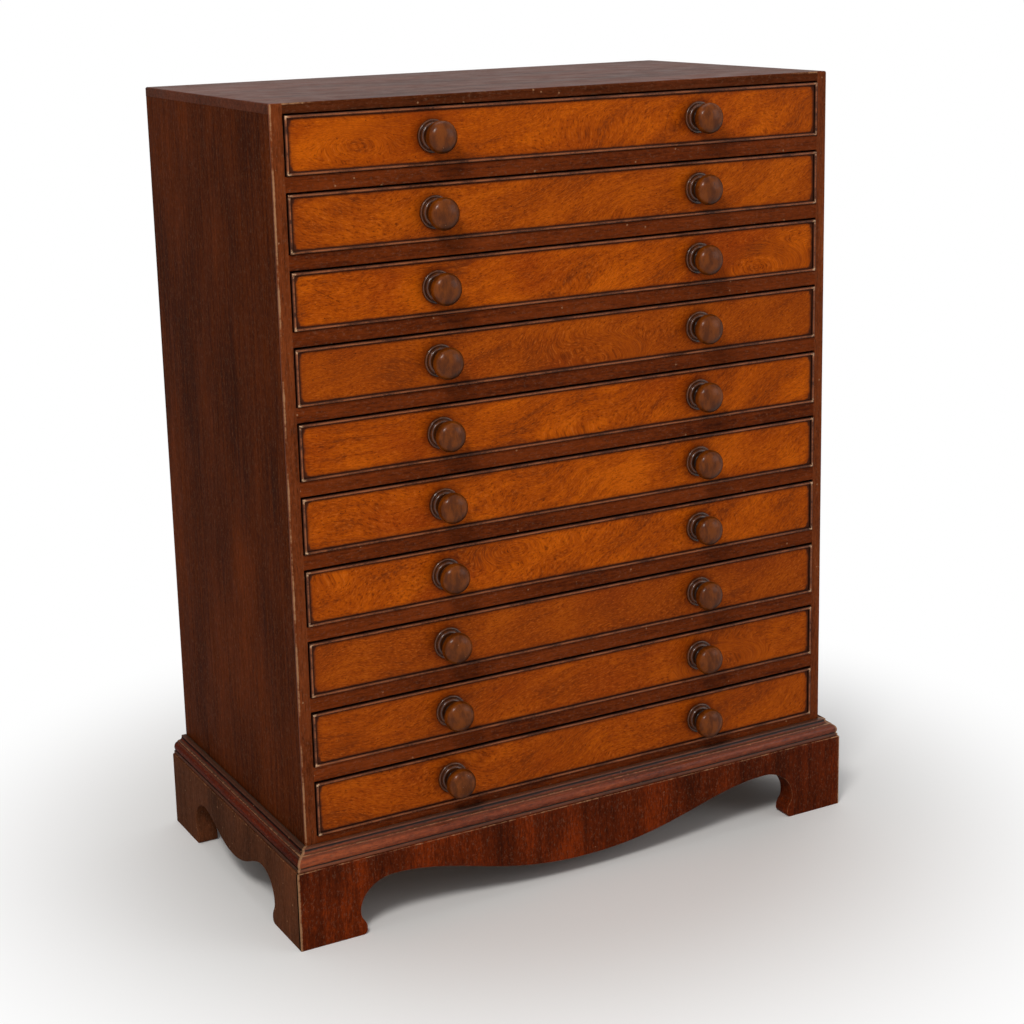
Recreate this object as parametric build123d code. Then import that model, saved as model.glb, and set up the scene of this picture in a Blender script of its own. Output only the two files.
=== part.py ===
from build123d import *
import os

# A tabletop specimen cabinet: a carcass with ten shallow drawers on a moulded base with
# bracket feet. Millimetres, +Z up, the drawer fronts face -Y. The origin is the centre of
# the footprint, on the surface that the feet stand on.

# ---------------------------------------------------------------- driving dimensions
# Carcass. Its height follows from the base, the drawer openings, the rails and the top.
carcass_width = 520.0
carcass_depth = 281.3
side_thick = 10.0
top_thick = 7.8
bottom_thick = 9.8
edge_round = 1.5            # worn outer edges of the top and the front corners
housing_depth = 3.0         # how far rails, runners and bottom are let into the sides
stile_depth = 3.0           # facing strips that cover the front edges of the sides
back_thick = 8.0
back_rebate = 5.0           # how far the back boards reach into the sides
back_board_count = 3

# Drawer openings, rails between them and the runners behind the rails
drawer_count = 10
opening_height = 47.4
rail_thick = 12.2
rail_depth = 45.0
runner_width = 16.0
stop_length = 24.0
stop_depth = 10.0
stop_height = 3.0
stop_spacing = 300.0        # between the two stops of one drawer

# Base moulding: a torus between a bottom fillet and a cavetto with a top fillet.
# Each reach is measured outwards from the face of the carcass.
moulding_height = 16.0
bottom_fillet_height = 2.4
bottom_fillet_reach = 12.6
quirk_depth = 1.0           # notch between the bottom fillet and the torus
quirk_height = 0.8
torus_height = 7.8
torus_top_reach = 8.6
torus_bulge = 2.0           # how far the torus swells past the chord of its arc
cavetto_height = 3.0
cavetto_reach = 3.0
top_fillet_height = 1.2
top_fillet_reach = 4.6

# Plinth boards with bracket feet under the moulding
plinth_height = 68.0
plinth_reach = 14.1
plinth_thick = 18.0
plinth_edge_round = 1.5
foot_width = 60.0
toe_round = 5.0
notch_depth = 5.5           # the hollow above the toe
notch_height = 21.0
front_arch_run = 31.5       # from the notch to the top of the arch
front_arch_height = 47.5
front_apron_height = 17.3   # clearance under the middle of the apron
side_arch_run = 24.5
side_arch_height = 44.0
side_apron_height = 26.0

# Plain brackets of the rear feet, and glue blocks
bracket_thick = 12.0
bracket_foot = 45.0
bracket_top = 80.0
bracket_slope_height = 50.0
block_width = 20.0
block_lift = 4.0            # the corner blocks stop short of the floor
apron_block_length = 60.0
apron_block_height = 14.0
apron_block_spacing = 180.0

# Drawers
side_gap = 0.8
top_gap = 1.2
running_gap = 0.3
front_thick = 16.0
drawer_side_thick = 6.0
drawer_back_thick = 7.0
drawer_bottom_thick = 3.5
bottom_lift = 4.5           # from the drawer's lower edge to the underside of its bottom
groove_depth = 2.5
back_clearance = 6.0        # between the closed drawer and the back boards
tail_length = 9.5
tail_count = 2
tail_root = 8.0             # width of a dovetail where it leaves its board
tail_flare = 1.6            # extra width on each side at its wide end

# Cock beads round each drawer front
bead_thick = 2.6
bead_let_in = 6.0
bead_proud = 2.0

# Turned knobs
knob_spacing = 250.0
dowel_radius = 4.5
rosette_radius = 13.5
rosette_height = 2.8
collar_radius = 11.4
collar_height = 2.4
neck_radius = 6.5
neck_height = 5.3
dome_radius = 13.0
dome_underside = 6.5        # from the end of the neck to the widest plane
dome_height = 7.5           # from the widest plane to the tip

# ---------------------------------------------------------------- derived places
pitch = opening_height + rail_thick
carcass_base = plinth_height
first_floor = carcass_base + bottom_thick + rail_thick
top_underside = first_floor + drawer_count * opening_height + (drawer_count - 1) * rail_thick
cabinet_height = top_underside + top_thick

knob_reach = rosette_height + collar_height + neck_height + dome_underside + dome_height
face_y = -(carcass_depth - knob_reach) / 2
rear_y = face_y + carcass_depth
inner_rear_y = rear_y - back_thick

half_width = carcass_width / 2
half_opening = half_width - side_thick
half_housed = half_opening + housing_depth

half_drawer = half_opening - side_gap
drawer_low = running_gap
drawer_high = opening_height - top_gap
front_back_y = face_y + front_thick
drawer_end_y = inner_rear_y - back_clearance
bottom_low = drawer_low + bottom_lift
bottom_high = bottom_low + drawer_bottom_thick

beyond = 5.0                # how far a cutting shape runs past what it cuts


def opening_floor(number):
    """Height of the floor of a drawer opening; drawer 1 is the top one."""
    return first_floor + (drawer_count - number) * pitch


def block(x, y, z):
    """A board between two corners, given as pairs of X, Y and Z."""
    size = Box(x[1] - x[0], y[1] - y[0], z[1] - z[0], align=(Align.MIN,) * 3)
    return Pos(x[0], y[0], z[0]) * size


def mirrored(shape):
    """The same piece on the other side of the cabinet."""
    return mirror(shape, Plane.YZ)


def save(name, pieces):
    """Write one node; several pieces stay separate solids."""
    solids = [solid for piece in pieces for solid in piece.solids()]
    node = solids[0] if len(solids) == 1 else Compound(children=solids)
    export_step(node, f"parts/{name}.step")


# ---------------------------------------------------------------- carcass
def carcass_envelope():
    """The outer form of the carcass, with its worn edges rounded."""
    box = block((-half_width, half_width), (face_y, rear_y), (carcass_base, cabinet_height))
    top_edges = box.edges().group_by(Axis.Z)[-1]
    front_corners = box.edges().filter_by(Axis.Z).group_by(Axis.Y)[0]
    return fillet(top_edges + front_corners, edge_round)


def housed_board(end_y, low, high):
    """A board across the carcass, flush with its front between the stiles and let into
    the sides behind them."""
    lip = block((-half_opening, half_opening), (face_y, face_y + stile_depth), (low, high))
    board = block((-half_housed, half_housed), (face_y + stile_depth, end_y), (low, high))
    return lip + board


def rails():
    """One rail under each drawer opening."""
    return [
        housed_board(face_y + rail_depth, opening_floor(n) - rail_thick, opening_floor(n))
        for n in range(1, drawer_count + 1)
    ]


def right_runners():
    """Strips behind the rails that carry the drawer sides."""
    width = (half_opening - runner_width, half_housed)
    return [
        block(width, (face_y + rail_depth, inner_rear_y), (floor - rail_thick, floor))
        for floor in map(opening_floor, range(1, drawer_count + 1))
    ]


def drawer_stops():
    """Two small blocks on each rail, which the back of the drawer front meets."""
    start = front_back_y + running_gap
    return [
        block((x - stop_length / 2, x + stop_length / 2), (start, start + stop_depth),
              (opening_floor(n), opening_floor(n) + stop_height))
        for n in range(1, drawer_count + 1)
        for x in (-stop_spacing / 2, stop_spacing / 2)
    ]


def back_boards():
    """Boards nailed across the back, in rebates of the sides."""
    board = (top_underside - carcass_base) / back_board_count
    half = half_opening + back_rebate
    return [
        block((-half, half), (inner_rear_y, rear_y),
              (carcass_base + i * board, carcass_base + (i + 1) * board))
        for i in range(back_board_count)
    ]


def right_stile(envelope):
    """The facing strip over the front edge of a side, up to the top surface."""
    strip = block((half_opening, half_width), (face_y, face_y + stile_depth),
                  (carcass_base, cabinet_height))
    return strip & envelope


def right_side(envelope, bottom):
    """A side board, with housings for what it carries and a rebate for the back."""
    board = block((half_opening, half_width), (face_y + stile_depth, rear_y),
                  (carcass_base, top_underside))
    return (board & envelope) - bottom - rails() - right_runners() - back_boards()


def top_board(envelope, stiles):
    """The top, which lies on the sides and meets the stiles at the front."""
    board = block((-half_width, half_width), (face_y, rear_y), (top_underside, cabinet_height))
    return (board & envelope) - stiles


# ---------------------------------------------------------------- base
# A strip round the base is a section carried along one side of the cabinet. A section is
# drawn with X outwards from the face of the carcass and Y up from the strip's lower edge.
def front_strip(section, low, inner, outer):
    """Carry a section along the front, mitred at both ends."""
    run = half_width + outer + beyond
    start = Plane(origin=(run, face_y, low), x_dir=(0, -1, 0), z_dir=(-1, 0, 0))
    corners = [
        (half_width + outer, face_y - outer),
        (half_width + inner, face_y - inner),
        (-half_width - inner, face_y - inner),
        (-half_width - outer, face_y - outer),
    ]
    return mitre(extrude(start * section, 2 * run), corners)


def right_strip(section, low, inner, outer):
    """Carry a section along the right side, mitred at the front and square at the rear."""
    start = Plane(origin=(half_width, rear_y, low), x_dir=(1, 0, 0), z_dir=(0, -1, 0))
    corners = [
        (half_width + outer, face_y - outer),
        (half_width + outer, rear_y),
        (half_width + inner, rear_y),
        (half_width + inner, face_y - inner),
    ]
    return mitre(extrude(start * section, carcass_depth + outer + beyond), corners)


def mitre(strip, corners):
    """Keep what stands over a plan outline."""
    outline = make_face(Polyline(*corners, close=True))
    return strip & extrude(outline, cabinet_height)


def moulding_section():
    """The outline of the base moulding, from its lower inner corner upwards."""
    torus_low = bottom_fillet_height + quirk_height
    torus_high = torus_low + torus_height
    torus_low_reach = bottom_fillet_reach - quirk_depth
    cavetto_low = moulding_height - top_fillet_height - cavetto_height
    cavetto_low_reach = top_fillet_reach + cavetto_reach
    middle = ((torus_low_reach + torus_top_reach) / 2 + torus_bulge, (torus_low + torus_high) / 2)
    lower = Polyline(
        (0, 0),
        (bottom_fillet_reach, 0),
        (bottom_fillet_reach, bottom_fillet_height),
        (torus_low_reach, bottom_fillet_height),
        (torus_low_reach, torus_low),
    )
    torus = ThreePointArc((torus_low_reach, torus_low), middle, (torus_top_reach, torus_high))
    step = Polyline(
        (torus_top_reach, torus_high),
        (torus_top_reach, cavetto_low),
        (cavetto_low_reach, cavetto_low),
    )
    cavetto = Bezier(
        (cavetto_low_reach, cavetto_low),
        (top_fillet_reach, cavetto_low),
        (top_fillet_reach, cavetto_low + cavetto_height),
    )
    upper = Polyline(
        (top_fillet_reach, cavetto_low + cavetto_height),
        (top_fillet_reach, moulding_height),
        (0, moulding_height),
        (0, 0),
    )
    return make_face(lower + torus + step + cavetto + upper)


def plinth_section():
    """A plinth board, with its upper outer edge rounded."""
    inner = plinth_reach - plinth_thick
    shoulder = plinth_height - plinth_edge_round
    outline = Polyline(
        (plinth_reach - plinth_edge_round, plinth_height),
        (inner, plinth_height),
        (inner, 0),
        (plinth_reach, 0),
        (plinth_reach, shoulder),
    )
    edge = RadiusArc(
        (plinth_reach, shoulder),
        (plinth_reach - plinth_edge_round, plinth_height),
        -plinth_edge_round,
    )
    return make_face(outline + edge)


def arch_half(place, run, height, middle, middle_height):
    """The lower edge of an apron, from a foot's toe to the middle. place turns the
    distance from the board's end, and the height, into a point of the drawing."""
    notch = foot_width - notch_depth
    crown = notch + run
    toe_rise = (notch_height - toe_round) / 2
    crown_rise = height - notch_height
    slope = middle - crown
    round_share = 0.55      # of each axis, which makes a Bezier curve a quarter ellipse
    crown_share = 0.32      # of the slope, over which the curve leaves its crown
    middle_share = 0.48     # of the slope, over which it levels out at the middle
    toe = Bezier(
        place(foot_width - toe_round, 0),
        place(foot_width, 0),
        place(foot_width, toe_round),
    )
    hollow = Bezier(
        place(foot_width, toe_round),
        place(foot_width, toe_round + toe_rise),
        place(notch, notch_height - toe_rise),
        place(notch, notch_height),
    )
    bracket = Bezier(
        place(notch, notch_height),
        place(notch, notch_height + round_share * crown_rise),
        place(crown - round_share * run, height),
        place(crown, height),
    )
    sweep_down = Bezier(
        place(crown, height),
        place(crown + crown_share * slope, height),
        place(middle - middle_share * slope, middle_height),
        place(middle, middle_height),
    )
    return toe + hollow + bracket + sweep_down


def apron_void(length, run, height, middle_height):
    """The space under an apron between its two feet, as a face over the board's length."""
    def near(distance, up):
        return (distance, up)

    def far(distance, up):
        return (length - distance, up)

    heel = foot_width - toe_round
    ground = Polyline(near(heel, 0), near(heel, -beyond), far(heel, -beyond), far(heel, 0))
    left = arch_half(near, run, height, length / 2, middle_height)
    right = arch_half(far, run, height, length / 2, middle_height)
    return make_face(left + right + ground)


def front_plinth():
    """The front plinth board with its two bracket feet and shaped apron."""
    length = carcass_width + 2 * plinth_reach
    void = apron_void(length, front_arch_run, front_arch_height, front_apron_height)
    start = Plane(origin=(-length / 2, face_y, 0), x_dir=(1, 0, 0), z_dir=(0, -1, 0))
    cutter = extrude(start * void, plinth_reach + beyond, both=True)
    return front_strip(plinth_section(), 0, plinth_reach - plinth_thick, plinth_reach) - cutter


def right_plinth():
    """A side plinth board with its two bracket feet and shaped apron."""
    length = carcass_depth + plinth_reach
    void = apron_void(length, side_arch_run, side_arch_height, side_apron_height)
    start = Plane(origin=(half_width, face_y - plinth_reach, 0), x_dir=(0, 1, 0), z_dir=(1, 0, 0))
    cutter = extrude(start * void, plinth_reach + beyond, both=True)
    return right_strip(plinth_section(), 0, plinth_reach - plinth_thick, plinth_reach) - cutter


def right_bracket():
    """The plain board behind a rear foot, cut away on a slope."""
    outer = half_width + plinth_reach - plinth_thick
    outline = Polyline(
        (outer, 0),
        (outer - bracket_foot, 0),
        (outer - bracket_top, bracket_slope_height),
        (outer - bracket_top, plinth_height),
        (outer, plinth_height),
        close=True,
    )
    start = Plane(origin=(0, rear_y, 0), x_dir=(1, 0, 0), z_dir=(0, -1, 0))
    return extrude(start * make_face(outline), bracket_thick)


def glue_blocks():
    """Blocks in the four corners of the base, and behind the front and side aprons."""
    outer = half_width + plinth_reach - plinth_thick
    front = face_y - plinth_reach + plinth_thick
    rear = rear_y - bracket_thick
    corner_height = (block_lift, plinth_height)
    apron_height = (plinth_height - apron_block_height, plinth_height)
    middle = (front + rear) / 2
    reach = apron_block_length / 2
    blocks = []
    for side in (-1, 1):
        across = sorted((side * outer, side * (outer - block_width)))
        blocks.append(block(across, (front, front + block_width), corner_height))
        blocks.append(block(across, (rear - block_width, rear), corner_height))
        blocks.append(block(across, (middle - reach, middle + reach), apron_height))
        centre = side * apron_block_spacing / 2
        blocks.append(block((centre - reach, centre + reach), (front, front + block_width),
                            apron_height))
    return blocks


# ---------------------------------------------------------------- one drawer
# A drawer is drawn with the floor of its opening at height 0.
def drawer_bottom():
    """The bottom board, grooved into the front and the sides and passing under the back."""
    half = half_drawer - drawer_side_thick + groove_depth
    return block((-half, half), (front_back_y - groove_depth, drawer_end_y),
                 (bottom_low, bottom_high))


def dovetails(root_y, length, side):
    """The tails on one end of a drawer side. A positive length points them to the rear."""
    across = sorted((side * half_drawer, side * (half_drawer - drawer_side_thick)))
    spacing = (drawer_high - bottom_high) / tail_count
    tails = []
    for i in range(tail_count):
        middle = bottom_high + (i + 0.5) * spacing
        tip = tail_root / 2 + tail_flare
        outline = Polyline(
            (root_y, middle - tail_root / 2),
            (root_y + length, middle - tip),
            (root_y + length, middle + tip),
            (root_y, middle + tail_root / 2),
            close=True,
        )
        start = Plane(origin=(across[0], 0, 0), x_dir=(0, 1, 0), z_dir=(1, 0, 0))
        tails.append(extrude(start * make_face(outline), drawer_side_thick))
    return tails


def drawer_box():
    """Bottom, back and two sides, dovetailed together."""
    bottom = drawer_bottom()
    back = block((-half_drawer, half_drawer), (drawer_end_y - drawer_back_thick, drawer_end_y),
                 (bottom_high, drawer_high))
    sides = []
    for side in (-1, 1):
        across = sorted((side * half_drawer, side * (half_drawer - drawer_side_thick)))
        back -= dovetails(drawer_end_y - drawer_back_thick, drawer_back_thick, side)
        board = block(across, (front_back_y, drawer_end_y), (drawer_low, drawer_high))
        board += dovetails(front_back_y, -tail_length, side)
        sides.append(board - bottom)
    sides = [board - back for board in sides]
    return [bottom, back] + sides


def drawer_front():
    """The front board: rebated for the beads, bored for the knobs, with sockets for the
    dovetails and a groove for the bottom."""
    board = block((-half_drawer, half_drawer), (face_y, front_back_y), (drawer_low, drawer_high))
    panel = block((-half_drawer + bead_thick, half_drawer - bead_thick),
                  (face_y, face_y + bead_let_in),
                  (drawer_low + bead_thick, drawer_high - bead_thick))
    rim = block((-half_drawer, half_drawer), (face_y, face_y + bead_let_in),
                (drawer_low, drawer_high)) - panel
    board = board - rim - drawer_bottom()
    for side in (-1, 1):
        board -= dovetails(front_back_y, -tail_length, side)
    start = Plane(origin=(0, front_back_y, (drawer_low + drawer_high) / 2),
                  x_dir=(1, 0, 0), z_dir=(0, -1, 0))
    for x in (-knob_spacing / 2, knob_spacing / 2):
        board -= extrude(start * Pos(x, 0, 0) * Circle(dowel_radius), front_thick)
    return board


def bead_strip(length):
    """One cock bead along X, its outer edge at height 0, with mitred ends."""
    nose = bead_thick / 2
    tip = face_y - bead_proud
    sides = Polyline((tip + nose, 0), (face_y + bead_let_in, 0),
                     (face_y + bead_let_in, -bead_thick), (tip + nose, -bead_thick))
    front = ThreePointArc((tip + nose, -bead_thick), (tip, -nose), (tip + nose, 0))
    start = Plane(origin=(-length / 2, 0, 0), x_dir=(0, 1, 0), z_dir=(1, 0, 0))
    bar = extrude(start * make_face(sides + front), length)
    outline = Polyline(
        (-length / 2, 0),
        (length / 2, 0),
        (length / 2 - bead_thick, -bead_thick),
        (-length / 2 + bead_thick, -bead_thick),
        close=True,
    )
    view = Plane(origin=(0, face_y + bead_let_in, 0), x_dir=(1, 0, 0), z_dir=(0, -1, 0))
    return bar & extrude(view * make_face(outline), bead_let_in + bead_proud)


def cock_beads():
    """Four beads round the drawer front."""
    height = drawer_high - drawer_low
    middle = (drawer_low + drawer_high) / 2
    along = bead_strip(2 * half_drawer)
    upright = bead_strip(height)
    return [
        Pos(0, 0, drawer_high) * along,
        Pos(0, 0, drawer_low) * Rot(0, 180, 0) * along,
        Pos(half_drawer, 0, middle) * Rot(0, 90, 0) * upright,
        Pos(-half_drawer, 0, middle) * Rot(0, -90, 0) * upright,
    ]


def knob():
    """A turned knob on the Y axis: dowel, rosette, collar, neck and dome."""
    edge_share = 0.4        # of the rosette's height, before its edge rounds over
    underside_share = 0.95  # of the dome's radius, over which its underside swells
    side_share = 0.62       # of the dome's height, over which its side turns inwards
    crown_share = 0.6       # of the dome's radius, which its flattened crown spans
    collar_start = rosette_height
    neck_start = collar_start + collar_height
    dome_start = neck_start + neck_height
    widest = dome_start + dome_underside
    tip = widest + dome_height
    rosette_edge = rosette_height * edge_share
    rosette_shoulder = (rosette_radius + collar_radius) / 2
    collar_shoulder = (collar_radius + neck_radius) / 2

    def point(radius, out):
        return (radius, face_y - out)

    dowel = Polyline(point(0, -front_thick), point(dowel_radius, -front_thick),
                     point(dowel_radius, 0), point(rosette_radius, 0),
                     point(rosette_radius, rosette_edge))
    rosette = Bezier(point(rosette_radius, rosette_edge),
                     point(rosette_radius, rosette_height),
                     point(rosette_shoulder, rosette_height))
    ledge = Line(point(rosette_shoulder, rosette_height), point(collar_radius, collar_start))
    collar = Bezier(point(collar_radius, collar_start),
                    point(collar_radius, neck_start),
                    point(collar_shoulder, neck_start))
    neck = Bezier(point(collar_shoulder, neck_start),
                  point(neck_radius, neck_start),
                  point(neck_radius, neck_start + neck_height / 2),
                  point(neck_radius, dome_start))
    underside = Bezier(point(neck_radius, dome_start),
                       point(dome_radius * underside_share, dome_start),
                       point(dome_radius, (dome_start + widest) / 2),
                       point(dome_radius, widest))
    dome = Bezier(point(dome_radius, widest),
                  point(dome_radius, widest + dome_height * side_share),
                  point(dome_radius * crown_share, tip),
                  point(0, tip))
    axis = Line(point(0, tip), point(0, -front_thick))
    outline = dowel + rosette + ledge + collar + neck + underside + dome + axis
    return revolve(make_face(outline), Axis.Y)


def knobs():
    """Two knobs at the quarter points of the drawer."""
    middle = (drawer_low + drawer_high) / 2
    turned = knob()
    return [Pos(x, 0, middle) * turned for x in (-knob_spacing / 2, knob_spacing / 2)]


# ---------------------------------------------------------------- write every node
def write_carcass():
    """Carcass, base moulding and bracket-foot base."""
    envelope = carcass_envelope()
    bottom = housed_board(inner_rear_y, carcass_base, carcass_base + bottom_thick)
    stile = right_stile(envelope)
    stiles = [mirrored(stile), stile]
    side = right_side(envelope, bottom)
    save("top_board", [top_board(envelope, stiles)])
    save("side_left", [mirrored(side)])
    save("side_right", [side])
    save("stile_left", stiles[:1])
    save("stile_right", stiles[1:])
    save("bottom_board", [bottom])
    save("back_boards", back_boards())
    save("drawer_rails", rails())
    runners = right_runners()
    save("drawer_runners", [mirrored(runner) for runner in runners] + runners)
    save("drawer_stops", drawer_stops())
    moulding = right_strip(moulding_section(), plinth_height, 0, bottom_fillet_reach)
    save("moulding_front",
         [front_strip(moulding_section(), plinth_height, 0, bottom_fillet_reach)])
    save("moulding_left", [mirrored(moulding)])
    save("moulding_right", [moulding])
    plinth = right_plinth()
    save("plinth_front", [front_plinth()])
    save("plinth_left", [mirrored(plinth)])
    save("plinth_right", [plinth])
    bracket = right_bracket()
    save("rear_bracket_left", [mirrored(bracket)])
    save("rear_bracket_right", [bracket])
    save("glue_blocks", glue_blocks())


def write_drawers():
    """The drawers are all alike: each is drawn once and set in its opening."""
    pieces = {
        "front": [drawer_front()],
        "box": drawer_box(),
        "cock_beads": cock_beads(),
        "knobs": knobs(),
    }
    for number in range(1, drawer_count + 1):
        place = Pos(0, 0, opening_floor(number))
        for name, solids in pieces.items():
            save(f"drawer_{number:02d}_{name}", [place * solid for solid in solids])


os.makedirs("parts", exist_ok=True)
write_carcass()
write_drawers()
print(f"Cabinet {carcass_width + 2 * plinth_reach:.1f} wide, {carcass_depth + knob_reach:.1f} deep, "
      f"{cabinet_height:.1f} high")
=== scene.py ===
# %% [markdown]
# # A specimen cabinet in mahogany
#
# This lesson dresses a collector's cabinet: a dark mahogany carcass, ten drawers faced with
# orange figured veneer, cock beads, turned knobs and a moulded base on bracket feet.
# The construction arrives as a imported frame. It holds every board at its real size, in
# metres, and it says which body each board rides on. Our work is the finish: soft arrises,
# turned and moulded shapes, grain, polish, grime and wear.

# %% Load the frame
import math
from functools import partialmethod

import bmesh
import bpy
import numpy as np
from mathutils import Matrix, Vector


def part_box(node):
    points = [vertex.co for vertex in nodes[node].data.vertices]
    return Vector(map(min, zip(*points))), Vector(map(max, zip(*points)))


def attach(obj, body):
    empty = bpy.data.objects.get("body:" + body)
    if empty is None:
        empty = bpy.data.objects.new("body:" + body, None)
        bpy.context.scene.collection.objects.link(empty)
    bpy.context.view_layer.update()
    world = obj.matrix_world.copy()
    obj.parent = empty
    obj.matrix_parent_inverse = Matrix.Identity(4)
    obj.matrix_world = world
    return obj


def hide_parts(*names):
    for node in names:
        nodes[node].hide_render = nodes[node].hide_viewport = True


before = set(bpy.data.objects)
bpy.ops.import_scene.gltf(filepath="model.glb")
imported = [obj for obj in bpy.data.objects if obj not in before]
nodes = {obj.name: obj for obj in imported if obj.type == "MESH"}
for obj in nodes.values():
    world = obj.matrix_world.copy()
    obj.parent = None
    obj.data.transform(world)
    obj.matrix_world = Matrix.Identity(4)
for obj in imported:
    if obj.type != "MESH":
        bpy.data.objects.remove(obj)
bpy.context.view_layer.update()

MM = 0.001
SHIFT_RATIOS = (1.0, 0.7, 1.3)    # a layer of noise starts elsewhere on each axis

# %% [markdown]
# ## Places that everything else is worked out from
#
# A cabinet maker works from a few face lines. We read ours from the frame's own boxes, so
# that a piece made here always meets the board beside it. All lengths below are millimetres;
# a mesh is turned into metres when it is made.

# %% Measure the boards
def measured(node):
    """The lowest and highest corner of a board, in millimetres."""
    low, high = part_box(node)
    return np.array(low) / MM, np.array(high) / MM


side_low, side_high = measured("side_left")
stile_low = measured("stile_left")[0]
plinth_low, plinth_high = measured("plinth_front")

DRAWERS = sum(name.endswith("_front") and name.startswith("drawer") for name in nodes)
HALF_WIDTH = -stile_low[0]
FACE = stile_low[1]
REAR = side_high[1]
PLINTH_TOP = plinth_high[2]
MOULDING_REACH = FACE - measured("moulding_front")[0][1]
TOP = measured("top_board")[1][2]
first_front, last_front = measured("drawer_01_front"), measured(f"drawer_{DRAWERS:02d}_front")
PITCH = (first_front[0][2] - last_front[0][2]) / (DRAWERS - 1)
print(f"carcass half width {HALF_WIDTH:.1f}, face {FACE:.1f}, rear {REAR:.1f}, pitch {PITCH:.2f}")

# %% [markdown]
# ## A way to write shader maths
#
# Shader nodes are easiest to read as formulas. The first class below wraps a socket, so that
# `1 - mask * 0.5` adds the Math nodes it needs. The second makes every other node.

# %% Tones and finishes
class Tone:
    """A socket that Python's operators can work on. Each operator adds a Math node."""

    def __init__(self, finish, socket):
        self.finish = finish
        self.socket = socket

    def maths(self, operation, *others):
        """This value and others through one Math node."""
        return self.finish.number(operation, self, *others)

    def __rsub__(self, other):
        return self.finish.number("SUBTRACT", other, self)

    __add__ = __radd__ = partialmethod(maths, "ADD")
    __sub__ = partialmethod(maths, "SUBTRACT")
    __mul__ = __rmul__ = partialmethod(maths, "MULTIPLY")
    __truediv__ = partialmethod(maths, "DIVIDE")
    __pow__ = partialmethod(maths, "POWER")
    __abs__ = partialmethod(maths, "ABSOLUTE")
    least = partialmethod(maths, "MINIMUM")
    most = partialmethod(maths, "MAXIMUM")

    def swing(self, amount):
        """Noise turned into a change either way: 0 at its middle, this much from end to end."""
        return (self - 0.5) * amount


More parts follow.
